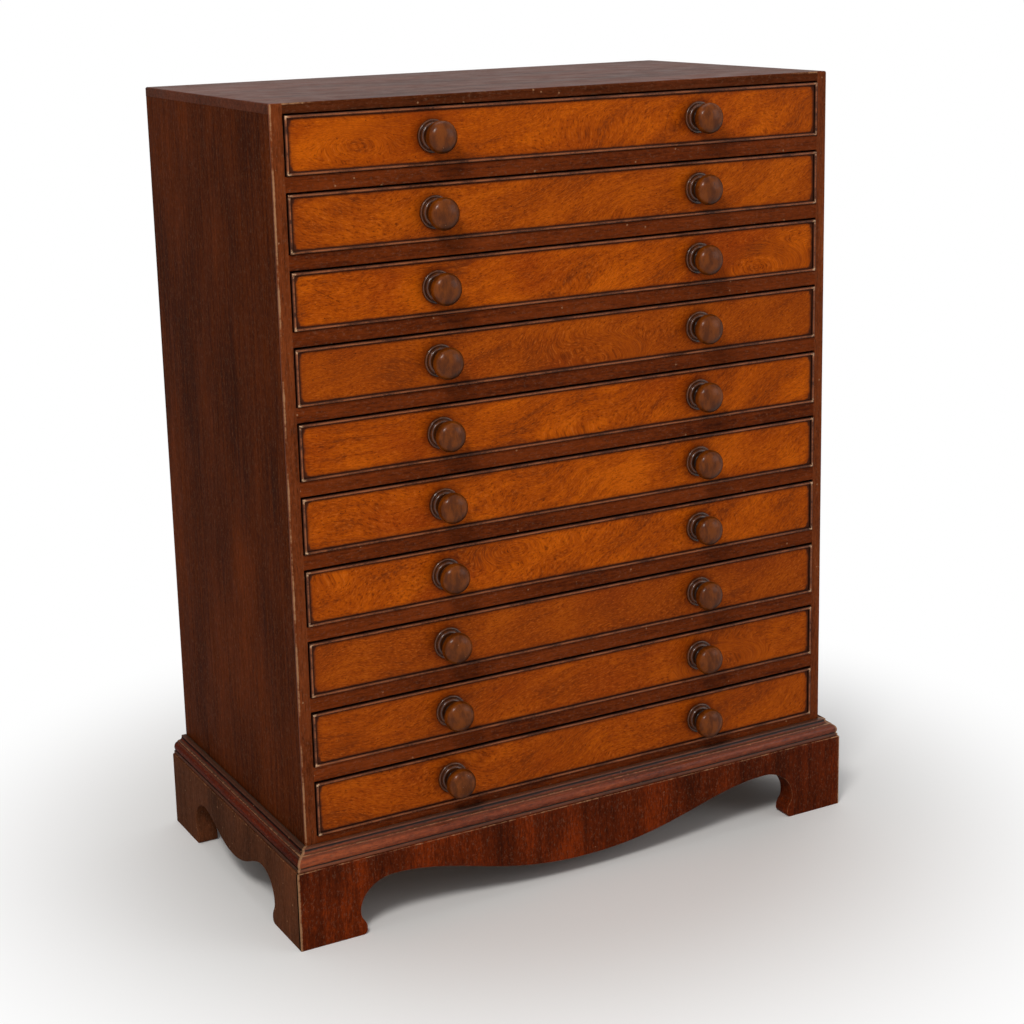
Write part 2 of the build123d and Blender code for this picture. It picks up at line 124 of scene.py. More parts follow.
class Finish:
    """One material: a Principled shader and the nodes that feed it."""

    def __init__(self, name, **constants):
        self.material = bpy.data.materials.new(name)
        self.material.use_nodes = True
        self.tree = self.material.node_tree
        self.shader = self.tree.nodes["Principled BSDF"]
        for socket, value in constants.items():
            self.shader.inputs[socket.replace("_", " ")].default_value = value
        self.place = self.node("ShaderNodeTexCoord", output="Object")
        self.x, self.y, self.z = self.parts(self.place)

    def node(self, kind, settings=None, inputs=None, output=0):
        """Add a node: its settings first, then the values or links of its sockets."""
        made = self.tree.nodes.new(kind)
        for setting, value in (settings or {}).items():
            setattr(made, setting, value)
        for socket, value in (inputs or {}).items():
            if isinstance(value, Tone):
                self.tree.links.new(value.socket, made.inputs[socket])
            else:
                made.inputs[socket].default_value = value
        return Tone(self, made.outputs[output])

    def number(self, operation, *values):
        """A Math node whose first value may be a plain number."""
        return self.node("ShaderNodeMath", {"operation": operation}, dict(enumerate(values)))

    def parts(self, vector):
        """The three numbers of a vector."""
        split = self.node("ShaderNodeSeparateXYZ", None, {0: vector})
        outputs = split.socket.node.outputs
        return tuple(Tone(self, outputs[i]) for i in range(3))

    def vector(self, x, y, z):
        """Three numbers as a vector."""
        return self.node("ShaderNodeCombineXYZ", None, {0: x, 1: y, 2: z})

    def mark(self, name):
        """A number that the mesh carries at each point."""
        settings = {"attribute_name": name, "attribute_type": "GEOMETRY"}
        return self.node("ShaderNodeAttribute", settings, output="Fac")

    def up(self):
        """1 where a face looks straight up, fading to 0 as it leans."""
        normal = self.node("ShaderNodeNewGeometry", output="Normal")
        return self.smooth(0.7, 0.97, self.parts(normal)[2])

    def smooth(self, low, high, value):
        """0 below low, 1 above high, and an S curve between; low may be the larger."""
        settings = {"interpolation_type": "SMOOTHSTEP", "clamp": True}
        if low > high:
            return 1.0 - self.smooth(high, low, value)
        inputs = {"Value": value, "From Min": low, "From Max": high, "To Min": 0.0, "To Max": 1.0}
        return self.node("ShaderNodeMapRange", settings, inputs)

    def noise(self, vector, detail=3.0, roughness=0.5, distortion=0.0):
        """Cloudy noise about 0.5, one cloud for each unit of the vector."""
        inputs = {"Vector": vector, "Scale": 1.0, "Detail": detail, "Roughness": roughness,
                  "Distortion": distortion}
        return self.node("ShaderNodeTexNoise", {"noise_dimensions": "3D"}, inputs)

    def grain(self, axis, length, width, shift=0.0, detail=3.0, roughness=0.5):
        """Noise stretched for grain on Object coordinates: one cloud is `length` long on the
        grain's axis and `width` across it, both in millimetres."""
        paces = [1 / (width * MM)] * 3
        paces["XYZ".index(axis)] = 1 / (length * MM)
        inputs = {"Vector": self.place, "Scale": paces,
                  "Location": [shift * ratio for ratio in SHIFT_RATIOS]}
        stretched = self.node("ShaderNodeMapping", {"vector_type": "POINT"}, inputs)
        return self.noise(stretched, detail, roughness)

    def mix(self, factor, first, second):
        """Two colours laid over each other; factor 1 shows the second. Each is a Tone or
        three numbers from 0 to 255."""
        settings = {"data_type": "RGBA", "blend_type": "MIX", "clamp_factor": True}
        first, second = [tint if isinstance(tint, Tone) else colour(*tint)
                         for tint in (first, second)]
        return self.node("ShaderNodeMix", settings, {0: factor, 6: first, 7: second}, output=2)

    def layered(self, shade, *layers):
        """A colour with others laid over it in turn, each where its mask is 1."""
        for mask, tint in layers:
            shade = self.mix(mask, shade, tint)
        return shade

    def bump(self, height, depth, under=None):
        """A bump of so many metres of depth for a height of 1, over another bump."""
        inputs = {"Height": height, "Distance": depth, "Strength": 1.0}
        if under is not None:
            inputs["Normal"] = under
        return self.node("ShaderNodeBump", None, inputs)

    def show(self, output, mask, lit, plain):
        """Send a mix of two shaders to the output node; the mask shows the plain one."""
        blend = self.node("ShaderNodeMixShader", None, {0: mask, 1: lit, 2: plain})
        self.tree.links.new(blend.socket, self.tree.nodes[output].inputs["Surface"])

    def wear(self, colour, roughness, normal=None, coat=None):
        """Feed the shader with what varies over the surface."""
        fed = {"Base Color": colour, "Roughness": roughness, "Normal": normal,
               "Coat Weight": coat}
        for socket, value in fed.items():
            if value is not None:
                self.tree.links.new(value.socket, self.shader.inputs[socket])
        return self.material


def colour(red, green, blue):
    """A colour as a painter reads it off, 0 to 255, turned into the shader's linear light."""
    shown = np.array([red, green, blue]) / 255.0
    linear = np.where(shown <= 0.04045, shown / 12.92, ((shown + 0.055) / 1.055) ** 2.4)
    return (*linear.tolist(), 1.0)


print("veneer orange in linear light:", np.round(colour(190, 92, 22), 3).tolist())

# %% [markdown]
# ## Surfaces from formulas
#
# Turned, moulded and shaped pieces are one idea: an outline moved through space, worked out
# as one numpy array, `grid[station, point] = XYZ`, whose columns close on themselves. Years of
# polishing soften sharp arrises, so outlines are resampled evenly and averaged with their
# neighbours. What the averaging takes away is largest on an arris and negative in a corner:
# the finishes place wear by it, and painted shade in the cuts of the knobs.

# %% Curves and softened outlines
def bezier(*handles, count=14):
    """A Bezier curve: every handle weighted by its Bernstein share at each step."""
    handles = np.array(handles, float)
    degree = len(handles) - 1
    t = np.linspace(0, 1, count)[:, None]
    shares = [math.comb(degree, i) * t**i * (1 - t)**(degree - i) for i in range(degree + 1)]
    return sum(share * handle for share, handle in zip(shares, handles))


def arc(start, end, bulge, count=18):
    """A circular arc that swells to the right of the way from start to end."""
    start, end = np.array(start, float), np.array(end, float)
    chord = end - start
    half = np.linalg.norm(chord) / 2
    forward = chord / (2 * half)
    outward = np.array([forward[1], -forward[0]])
    radius = (half**2 + bulge**2) / (2 * bulge)
    centre = (start + end) / 2 + outward * (bulge - radius)
    turn = np.linspace(-1, 1, count)[:, None] * math.asin(min(1.0, half / radius))
    return centre + radius * (outward * np.cos(turn) + forward * np.sin(turn))


def eased(outline, spacing, reach, closed=True):
    """Soften an outline: points at an even spacing, each averaged with `reach` neighbours on
    both sides under a bell curve. Also returns how far each point came in from its arris,
    as a share of the most: above 0 on arrises, below 0 in corners."""
    outline = np.vstack([outline, outline[:1]]) if closed else outline
    lengths = np.linalg.norm(np.diff(outline, axis=0), axis=1)
    along = np.concatenate([[0], np.cumsum(lengths)])
    even = np.linspace(0, along[-1], int(along[-1] / spacing) + 1, endpoint=not closed)
    points = np.column_stack([np.interp(even, along, outline[:, i]) for i in (0, 1)])
    if closed:
        before, after = points[-reach:], points[:reach]
    else:
        before = 2 * points[0] - points[reach:0:-1]
        after = 2 * points[-1] - points[-2:-reach - 2:-1]
    bell = np.hanning(2 * reach + 3)[1:-1]
    padded = np.concatenate([before, points, after])
    soft = np.column_stack([np.convolve(padded[:, i], bell / bell.sum(), "valid") for i in (0, 1)])
    forward = np.gradient(soft, axis=0)
    outward = np.column_stack([forward[:, 1], -forward[:, 0]])
    outward /= np.linalg.norm(outward, axis=1)[:, None] + 1e-9
    arris = ((points - soft) * outward).sum(1)
    return soft, arris / np.abs(arris).max()


def waver(places, pace, size, seed):
    """The small unevenness of hand work: sine waves of random phase, each shorter and weaker
    than the last, added up along the places."""
    octaves = np.arange(5)
    phases = np.random.default_rng(seed).uniform(0, 2 * math.pi, len(octaves))
    waves = np.sin(np.multiply.outer(places / pace, 1.9**octaves) + phases)
    return size * (waves * 0.6**octaves).sum(-1)


square = np.array([[0, 0], [9, 0], [9, 9], [0, 9]])
print("a softened square has", len(eased(square, 0.5, 2)[0]), "points")

# %% Grids into meshes
def make(name, shells, finish, body, replaced):
    """One piece from several shells. A shell is (grid, marks): its rows are open and capped,
    its columns close on themselves, and marks give a number to each point."""
    corners, quads, caps, marks, start = [], [], [], {}, 0
    for grid, carried in shells:
        rows, columns = grid.shape[:2]
        index = start + np.arange(rows * columns).reshape(rows, columns)
        beside = np.roll(index, -1, axis=1)
        quads.append(np.stack([index[:-1], beside[:-1], beside[1:], index[1:]], -1).reshape(-1, 4))
        caps += [index[0].tolist(), index[-1, ::-1].tolist()]
        corners.append(grid.reshape(-1, 3) * MM)
        for key, values in carried.items():
            marks.setdefault(key, []).append(np.broadcast_to(values, (rows, columns)).ravel())
        start += rows * columns
    mesh = bpy.data.meshes.new(name)
    mesh.from_pydata(np.concatenate(corners).tolist(), [], np.concatenate(quads).tolist() + caps)
    for key, values in marks.items():
        attribute = mesh.attributes.new(key, "FLOAT", "POINT")
        attribute.data.foreach_set("value", np.concatenate(values).astype(np.float32))
    close(mesh)
    mesh.materials.append(finish)
    piece = placed(name, mesh)
    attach(piece, body)
    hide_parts(*replaced)
    return piece


def placed(name, data):
    """A new object that holds the data, linked into the scene."""
    holder = bpy.data.objects.new(name, data)
    bpy.context.scene.collection.objects.link(holder)
    return holder


def close(mesh, weld=0.000002, crease=50.0):
    """Weld poles and seams, turn every face outwards, and keep edges sharper than the crease
    angle sharp in the shading."""
    work = bmesh.new()
    work.from_mesh(mesh)
    bmesh.ops.remove_doubles(work, verts=work.verts, dist=weld)
    bmesh.ops.recalc_face_normals(work, faces=work.faces)
    work.to_mesh(mesh)
    work.free()
    mesh.shade_smooth()
    mesh.set_sharp_from_angle(angle=math.radians(crease))


def mirrored(grid):
    """The same grid on the other side of the cabinet."""
    return grid * np.array([-1, 1, 1])


# %% [markdown]
# ## Mahogany
#
# Old polished mahogany is layered: a broad drift from dark to light, streaks along the grain,
# fine open pores that hold dark polish, scuffs and specks, and the polish itself, worn thin on
# arrises, with grime in joints and cracks and painted shade in grooves. Each layer is noise on
# Object coordinates, long along the grain and short across it.

# %% Layers of old wood
# The length and width of one cloud of each layer, in millimetres.
STREAK, MOTTLE, FIBRE, BLOOM_SPOT = (90, 4), (6, 2), (12, 0.8), (3.2, 1.8)
HAZE, SCUFF, UNEVEN = (30, 22), (3, 5), (60, 25)


def specks(finish, size, radius, share, shift=0.0):
    """Scattered flecks: of the Voronoi cells of this size, a share holds a fleck of this
    radius, and fine noise makes its rim ragged. All sizes are millimetres."""
    paces = (1 / (size * MM),) * 3
    spot = finish.node("ShaderNodeMapping", None, {"Vector": finish.place, "Scale": paces,
                                                   "Location": (shift, shift, shift)})
    inputs = {"Vector": spot, "Scale": 1.0, "Randomness": 1.0}
    distance = finish.node("ShaderNodeTexVoronoi", None, inputs, output="Distance")
    cell = finish.node("ShaderNodeTexVoronoi", None, inputs, output="Color")
    chosen, larger, _ = finish.parts(cell)
    rim = finish.grain("X", radius, radius, shift, 2, 0.6)
    reach = distance + rim.swing(1.6 * radius / size)
    rim_at = radius / size
    fleck = finish.smooth(rim_at, rim_at * 0.5, reach / (larger * 0.8 + 0.5))
    return fleck * finish.smooth(1 - share, 1 - share + 0.01, chosen)


def scratch(finish, across, up, start, end, width):
    """1 on a scratch from start to end, in millimetres: its nearest point is a share t of the
    way along it, and noise makes the width uneven."""
    run, rise = end[0] - start[0], end[1] - start[1]
    squared = run**2 + rise**2
    t = (across - start[0]) * (run / squared) + (up - start[1]) * (rise / squared)
    t = t.most(0.0).least(1.0)
    aside = across - t * run - start[0]
    over = up - t * rise - start[1]
    uneven = finish.grain("X", 4, 4, start[0], 3, 0.7)
    distance = (aside * aside + over * over) ** 0.5
    return finish.smooth(width, width * 0.2, distance + uneven * width)


def mahogany(name, tones, axis, shift=0.0, streaks=0.5, wear=None, grime=None, rough=0.36,
             cloud=(160, 55), gloss=0.012, coat=None, dust=None, **constants):
    """Polished mahogany with its grain on one axis, in three tones from dark to light. wear,
    the grime and painted shade, coat and dust are functions of the finish that say how much of
    each there is, from 0 to 1."""
    finish = Finish(name, Specular_IOR_Level=gloss, **constants)
    dark, middle, light = tones
    drift = finish.grain(axis, *cloud, shift)
    streak = finish.grain(axis, *STREAK, shift, 5, 0.6)
    mottle = finish.grain(axis, *MOTTLE, shift + 2, 4, 0.75)
    fibre = finish.grain(axis, *FIBRE, shift, 3, 0.7)
    bloom = finish.grain(axis, *BLOOM_SPOT, shift + 17, 2, 0.8)
    haze = finish.grain(axis, *HAZE, shift + 3, 4, 0.65)
    tone = drift * (1 - streaks) + streak * streaks + mottle.swing(0.55)
    pores = finish.smooth(0.52, 0.68, fibre)
    shade = finish.layered(dark, (finish.smooth(0.32, 0.52, tone), middle),
                           (finish.smooth(0.48, 0.7, tone), light), (pores * 0.5, DARK_PORE),
                           (finish.smooth(0.52, 0.8, bloom) * 0.4, BLOOM))
    roughness = rough + haze.swing(0.25) + pores * 0.08
    pale = specks(finish, 8, 0.8, 0.3, shift) * 0.8
    if grime is not None:
        # Grime in joints and cracks, and painted shade in the grooves of the base, darken the
        # colour.
        dirt_and_shade = finish.smooth(0.25, 0.75, grime(finish) + haze.swing(0.6))
        shade = finish.mix(dirt_and_shade, shade, GRIME_AND_SHADE)
        roughness = roughness + dirt_and_shade * 0.2
    if wear is not None:
        scuffs = finish.grain(axis, *SCUFF, shift + 7, 3, 0.8)
        pale = pale.most(finish.smooth(0.35, 0.8, wear(finish) + scuffs.swing(1.1)))
    if dust is not None:
        shade = finish.mix(dust(finish), shade, DUST)
    shade = finish.mix(pale * 0.75, shade, WORN)
    rippled = finish.bump(finish.grain(axis, *UNEVEN, shift + 11, 2), 0.0006)
    weight = None if coat is None else coat(finish)
    return finish.wear(shade, roughness, finish.bump(fibre, 0.00005, rippled), weight)


DARK_PORE = (34, 14, 9)
# Near-black for grime in joints and for painted shade in grooves.
GRIME_AND_SHADE = (16, 10, 8)
DUST = (80, 62, 50)
BLOOM = (124, 90, 68)
WORN = (172, 128, 92)

# %% [markdown]
# ## The dark carcass
#
# The sides, top, rails and stiles are plain boards, so the frame's own boards stay and get
# three things: their loose triangles are welded, each arris is rounded a little by a Bevel,
# and the polish goes on. The worn strip on the front corner is a distance: how far a point is
# from the vertical line of that corner.

# %% Soften the boards
def soften(name, width=0.35, segments=2):
    """Weld a frame board, round its arrises and let the large faces rule the shading."""
    board = nodes[name]
    weld = board.modifiers.new("weld", "WELD")
    weld.merge_threshold = 0.00001
    bevel = board.modifiers.new("arrises", "BEVEL")
    bevel.limit_method = "ANGLE"
    bevel.angle_limit = math.radians(40)
    bevel.width = width * MM
    bevel.segments = segments
    board.modifiers.new("shading", "WEIGHTED_NORMAL").keep_sharp = False


def polish(name, material):
    """Put one finish on a frame board."""
    nodes[name].data.materials.clear()
    nodes[name].data.materials.append(material)


def from_line(first, first_at, second, second_at):
    """Distance in millimetres from a straight line parallel to an axis: the hypotenuse of
    the two coordinates that vary across it."""
    a = (first - first_at * MM) / MM
    b = (second - second_at * MM) / MM
    return (a * a + b * b) ** 0.5


CRACK = ((REAR - 24, TOP - 110), (REAR - 20, TOP - 22))
PATCH = (45, 45)


def corner_wear(finish):
    """The polish is worn through on both front corners of the carcass."""
    near = from_line(abs(finish.x), HALF_WIDTH, finish.y, FACE)
    patch = finish.grain("Z", *PATCH, 31.0, 3, 0.6)
    return finish.smooth(2.2, 0.3, near) * finish.smooth(0.2, 0.62, patch)


def top_wear(finish):
    """Handling rubs the long front arris of the top, most of all at its ends."""
    near = from_line(finish.z, TOP, finish.y, FACE)
    ends = finish.smooth(HALF_WIDTH * 0.8 * MM, HALF_WIDTH * MM, abs(finish.x))
    return finish.smooth(2.4, 0.4, near) * (0.35 + ends * 0.5)


def side_grime(finish):
    """Dirt in the joint behind the stile, and a hairline crack near the rear of the side."""
    y, z = finish.y / MM, finish.z / MM
    joint = finish.smooth(1.1, 0.2, abs(y - side_low[1])) * 0.8
    crack = scratch(finish, y, z, *CRACK, 0.9)
    return joint.most(crack)


def top_coat(finish):
    """Years of wax lie on the upper face alone."""
    return finish.up() * 0.015


side_finish = mahogany("side_mahogany", ((52, 20, 6), (79, 33, 9), (104, 45, 13)), "Z", 1.0,
                       wear=corner_wear, grime=side_grime, gloss=0.0015)
top_finish = mahogany("top_mahogany", ((56, 25, 11), (82, 37, 16), (100, 47, 24)), "X", 4.0,
                      wear=top_wear, gloss=0.006, coat=top_coat, Coat_Roughness=0.25)
stile_finish = mahogany("stile_mahogany", ((80, 34, 12), (112, 52, 22), (134, 66, 30)), "Z", 9.0,
                        wear=corner_wear, Coat_Weight=0.03, Coat_Roughness=0.3)
rail_finish = mahogany("rail_mahogany", ((74, 28, 8), (104, 43, 12), (124, 54, 18)), "X", 13.0,
                       Coat_Weight=0.03, Coat_Roughness=0.3)
polish("top_board", top_finish)
for side in ("left", "right"):
    polish(f"side_{side}", side_finish)
    polish(f"stile_{side}", stile_finish)
polish("drawer_rails", rail_finish)
for name in ("top_board", "side_left", "side_right", "stile_left", "stile_right", "drawer_rails"):
    soften(name)
print("carcass boards softened and polished")

# %% [markdown]
# ## Inside wood
#
# Boards that were never meant to be seen are plain: pale sawn softwood, grey with dust, for
# the drawer linings, and darker brown boards for the back, bottom and blocks.

# %% Secondary woods
GREY_DUST = (96, 84, 70)


def plain_wood(name, dark, light, axis, shift):
    """Unpolished wood: slow growth rings along the grain, a darker or lighter board here and
    there, dust in clouds and no shine."""
    finish = Finish(name, Specular_IOR_Level=0.2)
    rings = finish.grain(axis, 420, 6, shift, 2, 0.5)
    broad = finish.grain(axis, 300, 50, shift + 9, 2)
    dust = finish.grain(axis, 70, 50, shift + 5, 4, 0.6)
    fibre = finish.grain(axis, 16, 0.7, shift, 3, 0.7)
    tone = rings * 0.5 + broad * 0.5 + finish.mark("board") * 0.22
    shade = finish.layered(dark, (finish.smooth(0.33, 0.72, tone), light),
                           (finish.smooth(0.54, 0.72, fibre) * 0.35, DARK_PORE),
                           (finish.smooth(0.5, 0.8, dust) * 0.3, GREY_DUST))
    return finish.wear(shade, 0.7 + dust.swing(0.3), finish.bump(fibre, 0.0001))


lining = plain_wood("lining_wood", (146, 104, 62), (186, 144, 94), "Y", 2.0)
blocks = plain_wood("block_wood", (92, 66, 44), (132, 98, 66), "X", 6.0)
backing = plain_wood("back_wood", (78, 52, 34), (116, 82, 54), "X", 8.0)
for name in ("bottom_board", "drawer_runners", "drawer_stops", "glue_blocks",
             "rear_bracket_left", "rear_bracket_right"):
    polish(name, blocks)
for number in range(1, DRAWERS + 1):
    polish(f"drawer_{number:02d}_box", lining)
    soften(f"drawer_{number:02d}_box", 0.25, 1)
print("secondary wood on", 6 + DRAWERS, "boards")

# %% [markdown]
# ## The back
#
# The back is three wide boards, one above another, in rebates of the sides. Old boards shrink
# a little, so each joint has opened to a dark line between soft arrises, and no two boards
# have quite the same colour.

# %% Back boards
BOARD_TONES = (0.55, 0.15, 0.8)
JOINT = 0.8


def plank(low, high):
    """A plank along X: its eased section, in depth and height, stands at both ends."""
    corners = np.array([low[1:], [high[1], low[2]], high[1:], [low[1], high[2]]])
    section, _ = eased(corners, spacing=0.4, reach=4)
    ends = np.linspace(low[0], high[0], 12)
    grid = np.empty((len(ends), len(section), 3))
    grid[..., 0] = ends[:, None]
    grid[..., 1:] = section
    return grid


back_low, back_high = measured("back_boards")
levels = np.linspace(back_low[2], back_high[2], len(BOARD_TONES) + 1)
planks = []
for tone, under, over in zip(BOARD_TONES, levels, levels[1:]):
    base = under + JOINT / 2 * (under > back_low[2])
    crown = over - JOINT / 2 * (over < back_high[2])
    planks.append((plank([*back_low[:2], base], [*back_high[:2], crown]), {"board": tone}))
make("back_planks", planks, backing, "carcass", ["back_boards"])
print("back of", len(planks), "planks")

# %% [markdown]
# ## The figured drawer fronts
#
# The fronts are faced with crotch veneer: orange flames that sweep up to the right and curl
# back on themselves. Straight grain becomes flame when the coordinate across it is bent by
# slow noise, and each drawer's own number shifts the noise. A dark margin inside the beads is
# partly polish and dirt and partly painted shade; a soft stain round each knob is partly
# handling dirt and partly painted shade; the two lowest drawers are painted darker as shade.

# %% Drawer veneer
BEAD = 2.6
KNOB_X = 125.0
ROSETTE = 13.5
SEED_STEP = 7.31
# Drawers count from 0 at the top. The darkened drawers: drawer and how much darker it is; 8 and 9
# are painted darker as shade towards the bottom, the others are of darker veneer. SCARS: drawer,
# start, end and width. EYES: drawer, place and reach, where the grain closes into rings.
AGED_AND_SHADED = [(1, 0.2), (3, 0.35), (7, 0.45), (8, 0.3), (9, 0.25)]
SCARS = [(2, (-230, 8), (-209, -4), 0.9), (2, (-236, 16), (-229, 11), 0.8),
         (2, (-222, 2), (-213, 4), 0.7), (4, (-232, 3), (-205, 7), 0.7),
         (4, (-205, 7), (-176, 5), 0.7), (4, (-222, -6), (-188, -3), 0.6),
         (0, (92, -9), (96, 6), 1.3), (2, (222, 8), (227, 13), 1.1)]
EYES = [(0, -190, -4, 22), (2, 186, -14, 26), (3, 20, -16, 24), (6, -60, 10, 20),
        (8, 150, -12, 22)]


def veneer():
    """Figured veneer on the face of a drawer front, plain wood on its other sides."""
    finish = Finish("drawer_veneer", Specular_IOR_Level=0.012, Coat_Weight=0.03,
                    Coat_Roughness=0.22)
    low, high = first_front
    middle = (low[2] + high[2]) / 2
    half_height = (high[2] - low[2]) / 2 - BEAD
    half_width = (high[0] - low[0]) / 2 - BEAD
    x, z = finish.x / MM, finish.z / MM
    drawer = ((middle + PITCH / 2 - z) / PITCH).maths("FLOOR")
    local = z - middle + drawer * PITCH

    def only(row):
        return finish.smooth(0.6, 0.4, abs(drawer - row))

    def clouds(across, up, shift, detail=2, roughness=0.5):
        place = finish.vector(across, up, drawer * SEED_STEP + shift)
        return finish.noise(place, detail, roughness)

    bend = clouds(x / 150, local / 90, 0, 2, 0.4)
    across = local * 0.9 - x * 0.25 - x * x * (0.12 / half_width) + bend.swing(85)
    for row, eye_x, eye_z, reach in EYES:
        aside, over = x - eye_x, local - eye_z
        ring = (aside * aside * 0.16 + over * over) ** 0.5
        here = finish.smooth(1.0, 0.3, ring / reach) * only(row)
        across = across * (1 - here) + ring * here
    along = x * 0.9 + local * 0.42
    flame = clouds(along / 60, across / 4.5, 0, 3, 0.6)
    broad = clouds(x / 50, local / 30 - x / 90, 11, 3, 0.5)
    mottle = clouds(along / 5, across / 2.0, 23, 4, 0.8)
    ripple = clouds(x / 3.4, local / 34, 31)
    fibre = clouds(along / 3.2, across / 0.9, 0, 3, 0.75)

    tone = flame * 0.24 + broad * 0.36 + mottle * 0.34 + ripple * 0.06
    red = clouds(x / 90, local / 50, 60)
    # Painted shade on the two lowest drawers, and darker veneer on the others listed.
    aged_and_shaded = [(only(row) * darker, VENEER_DARK) for row, darker in AGED_AND_SHADED]
    shade = finish.layered(VENEER_DARK, (finish.smooth(0.37, 0.5, tone), VENEER),
                           (finish.smooth(0.48, 0.6, tone), VENEER_BRIGHT),
                           (finish.smooth(0.5, 0.75, red) * 0.6, VENEER_RED), *aged_and_shaded,
                           (finish.smooth(0.46, 0.3, fibre) * 0.5, VENEER_FLECK),
                           (finish.smooth(0.5, 0.68, fibre) * 0.65, VENEER_PORE))

    # Partly dirt and partly painted shade: a dark margin inside the beads, wider at the corners.
    ragged = clouds(x / 7, local / 7, 0, 4, 0.65).swing(3.0)
    side_gap = half_width - abs(x)
    edge_gap = half_height - abs(local)
    corner = finish.smooth(7.0, 0.0, side_gap) * finish.smooth(7.0, 0.0, edge_gap)
    margin = (side_gap * 0.6).least(edge_gap * 1.2) - corner * 2.2 + ragged * 0.6
    dirt_and_shade = finish.smooth(1.9, 0.2, margin)
    margin_stain_and_shade = finish.smooth(5.0, 0.5, margin)

    # Partly handling dirt and partly painted shade: a soft dark ring round each knob.
    aside = abs(x) - KNOB_X
    from_knob = (aside * aside + local * local) ** 0.5
    knob_stain_and_shade = finish.smooth(ROSETTE + 7, ROSETTE - 1, from_knob + ragged * 1.2)
    pits = specks(finish, 6, 0.6, 0.5, 5.0)
    for row, *scar in SCARS:
        pits = pits.most(scratch(finish, x, local, *scar) * only(row))
    shade = finish.layered(shade, (margin_stain_and_shade * 0.35, VENEER_DARK), (dirt_and_shade * 0.85, MARGIN),
                           (knob_stain_and_shade * 0.55, KNOB_STAIN_AND_SHADE), (pits * 0.8, PIT))

    face = finish.smooth(FACE + 1.2, FACE + 0.8, finish.y / MM)
    shade = finish.mix(face, BOARD, shade)
    roughness = 0.34 + broad.swing(0.2) + dirt_and_shade * 0.25
    rippled = finish.bump(clouds(x / 40, local / 18, 90), 0.0005)
    return finish.wear(shade, roughness, finish.bump(fibre * 0.5 + pits * -1.0, 0.00008, rippled))


VENEER = (166, 72, 8)
VENEER_BRIGHT = (196, 92, 10)
VENEER_DARK = (122, 52, 14)
VENEER_RED = (146, 54, 10)
VENEER_PORE = (82, 30, 6)
VENEER_FLECK = (206, 112, 40)
PIT = (44, 16, 6)
# Near-black for the margin inside the beads: partly dirt, partly painted shade.
MARGIN = (40, 26, 22)
# Dark red for the ring round each knob: partly handling dirt, partly painted shade.
KNOB_STAIN_AND_SHADE = (84, 26, 6)
BOARD = (120, 78, 50)

front_finish = veneer()
for number in range(1, DRAWERS + 1):
    polish(f"drawer_{number:02d}_front", front_finish)
print("veneered", DRAWERS, "drawer fronts")

# %% [markdown]
# ## Cock beads
#
# A cock bead is a thin strip with a half-round nose, let into a rebate round the drawer front
# and standing a little proud to protect the veneer. Its section is carried along each of the
# four sides. At a corner every point stops at the mitre, one step earlier for each step
# further in.

# %% Beads round every drawer
BEAD_LET_IN = 6.0
BEAD_PROUD = 2.0
BEAD_DARK = (66, 34, 20)
BEAD_LIGHT = (96, 50, 30)
# Partly rubbed wood and partly painted highlight, on the crown of the bead.
BEAD_RUBBED_AND_HIGHLIGHT = (168, 100, 60)
BEAD_BARE = (214, 176, 138)
# Painted shade on the flanks of the bead.
BEAD_FLANK_SHADE = (16, 8, 5)


def bead_section():
    """Half-round nose on a thin board, as (out from the face, in from the drawer's edge)."""
    shoulder = BEAD_PROUD - BEAD / 2
    nose = arc((shoulder, 0), (shoulder, BEAD), BEAD / 2)
    outline = np.vstack([[-BEAD_LET_IN, 0], nose, [-BEAD_LET_IN, BEAD]])
    return eased(outline, spacing=0.3, reach=1)[0]


def bead_strip(half_length, seed):
    """One bead: station s from -1 to 1 puts a point s * (half length - its inset) along."""
    out, inset = bead_section().T
    stations = np.linspace(-1, 1, max(9, int(half_length / 5)))[:, None]
    along = stations * (half_length - inset)
    rubbed = waver(along, 14, 0.035, seed) * (out > 0)
    marks = {"nose": np.clip(out / BEAD_PROUD, 0, 1), "corner": half_length - np.abs(along)}
    return along, out + rubbed, np.broadcast_to(inset, along.shape), marks


def beads(number):
    """The four beads of one drawer, mitred at its corners."""
    low, high = measured(f"drawer_{number:02d}_cock_beads")
    middle, half_height = (low[2] + high[2]) / 2, (high[2] - low[2]) / 2
    shells = []
    for i, half in enumerate([high[0], high[0], half_height, half_height]):
        along, out, inset, marks = bead_strip(half, number * 10 + i)
        sign = 1 if i % 2 else -1
        if i < 2:
            grid = np.stack([along, FACE - out, middle + sign * (half_height - inset)], -1)
        else:
            grid = np.stack([sign * (high[0] - inset), FACE - out, middle + along], -1)
        shells.append((grid, marks))
    return shells


